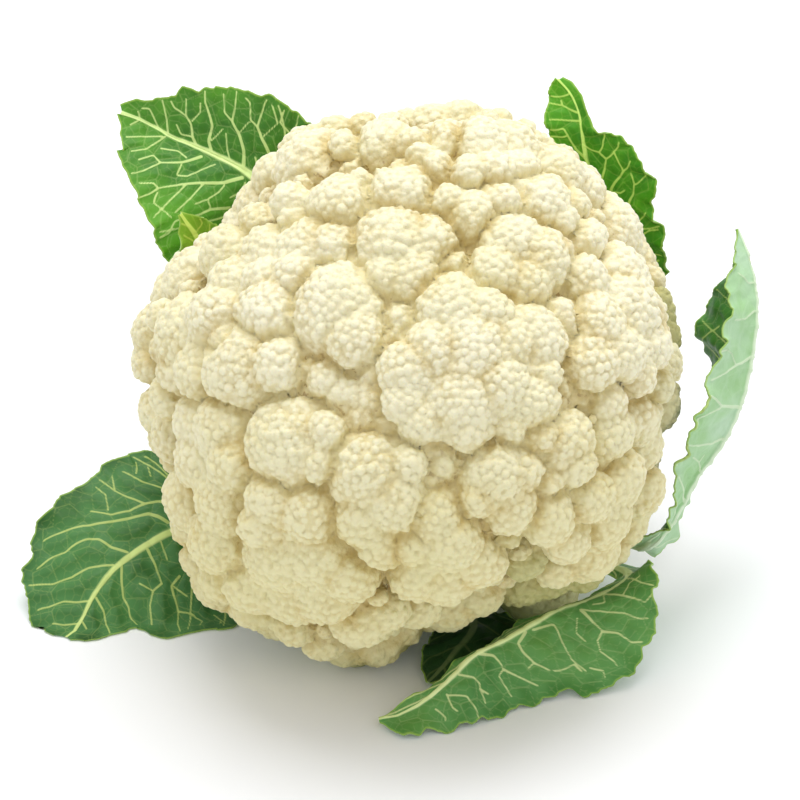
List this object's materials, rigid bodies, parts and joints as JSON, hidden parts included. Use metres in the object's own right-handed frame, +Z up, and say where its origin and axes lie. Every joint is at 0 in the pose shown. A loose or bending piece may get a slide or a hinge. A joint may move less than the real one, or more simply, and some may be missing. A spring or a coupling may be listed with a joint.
{
  "type": "cauliflower",
  "caption": "Whole cauliflower: a cream head of clustered florets on a short cut stalk, resting on its side florets, with green leaves still spread round it.",
  "frame": {"origin": "bottom centre of the whole cauliflower's box, on the surface that it rests on", "axes": "+Z up; +X from the leaf at the left of its best side to the upright leaf at the right; -Y towards the viewer of that side"},
  "size_m": [0.2487, 0.1968, 0.1768],
  "materials": {
    "curd": "cream plant tissue, matt and finely granular, slightly translucent",
    "stalk": "pale green-white plant tissue, waxy at the side and matt where it is cut",
    "leaf_bright": "fresh leaf, satin, with pale veins",
    "leaf_young": "young yellow-green leaf, satin",
    "leaf_mid": "leaf, satin, with pale veins and midrib",
    "leaf_pale": "under face of a leaf, matt grey-green with a waxy bloom and pale veins",
    "leaf_deep": "deep green leaf with a greyish waxy sheen and pale veins"
  },
  "bodies": {
    "root": {"curd": "curd", "stalk": "stalk", "leaf_back_left": "leaf_bright", "leaf_small_left": "leaf_young", "leaf_back_right": "leaf_mid", "leaf_right": "leaf_pale", "leaf_front": "leaf_mid", "leaf_under": "leaf_deep", "leaf_left": "leaf_deep"}
  },
  "joints": []
}
